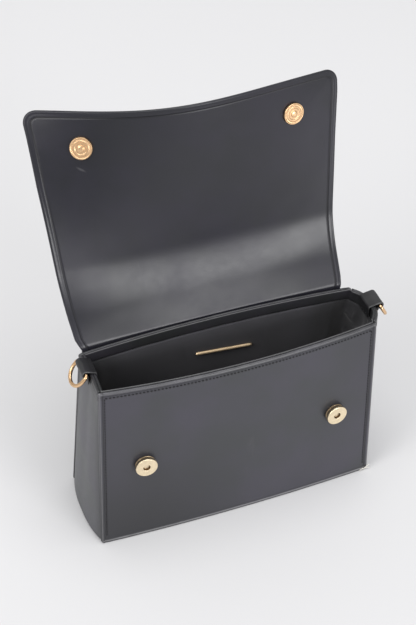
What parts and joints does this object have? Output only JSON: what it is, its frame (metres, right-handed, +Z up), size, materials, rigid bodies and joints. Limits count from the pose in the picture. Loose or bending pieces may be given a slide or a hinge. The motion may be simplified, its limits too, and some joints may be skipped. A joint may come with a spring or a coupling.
{
  "type": "handbag",
  "caption": "Flap handbag with a shallow leather body, a long flap that stands open, magnetic snaps and a swinging metal ring at each end of its rim for a strap",
  "frame": {"origin": "On the floor, at the middle of the base", "axes": "+X runs along the width to the viewer's right, the front panel faces -Y and +Z is up to the flap's free edge"},
  "size_m": [0.2659, 0.1623, 0.3346],
  "materials": {
    "leather_black": "smooth satin leather",
    "leather_gusset": "smooth satin leather, softer folds",
    "lining_black": "matt woven lining",
    "gold_plated": "polished gold plating",
    "gold_pale": "pale gold plating, finely turned"
  },
  "bodies": {
    "body": {"front_panel": "leather_black", "back_panel": "leather_black", "base_panel": "leather_black", "gusset_left": "leather_gusset", "gusset_right": "leather_gusset", "lining": "lining_black", "rim_facing": "leather_black", "flap": "leather_black", "snap_stud_left": "gold_pale", "snap_stud_right": "gold_pale", "snap_cap_left": "gold_plated", "snap_cap_right": "gold_plated", "tab_left": "leather_black", "tab_right": "leather_black", "bar_plate": "gold_plated"},
    "ring_left_body": {"ring_left": "gold_plated"},
    "ring_right_body": {"ring_right": "gold_plated"}
  },
  "joints": [
    {"name": "ring_left_swing", "type": "hinge", "parent": "body", "child": "ring_left_body", "pos_m": [-0.1183, 0.00218, 0.1625], "axis": [0, 1, 0], "range_deg": [-25, 130]},
    {"name": "ring_right_swing", "type": "hinge", "parent": "body", "child": "ring_right_body", "pos_m": [0.1279, -0.00131, 0.1613], "axis": [0, -1, 0], "range_deg": [-18, 138]}
  ]
}
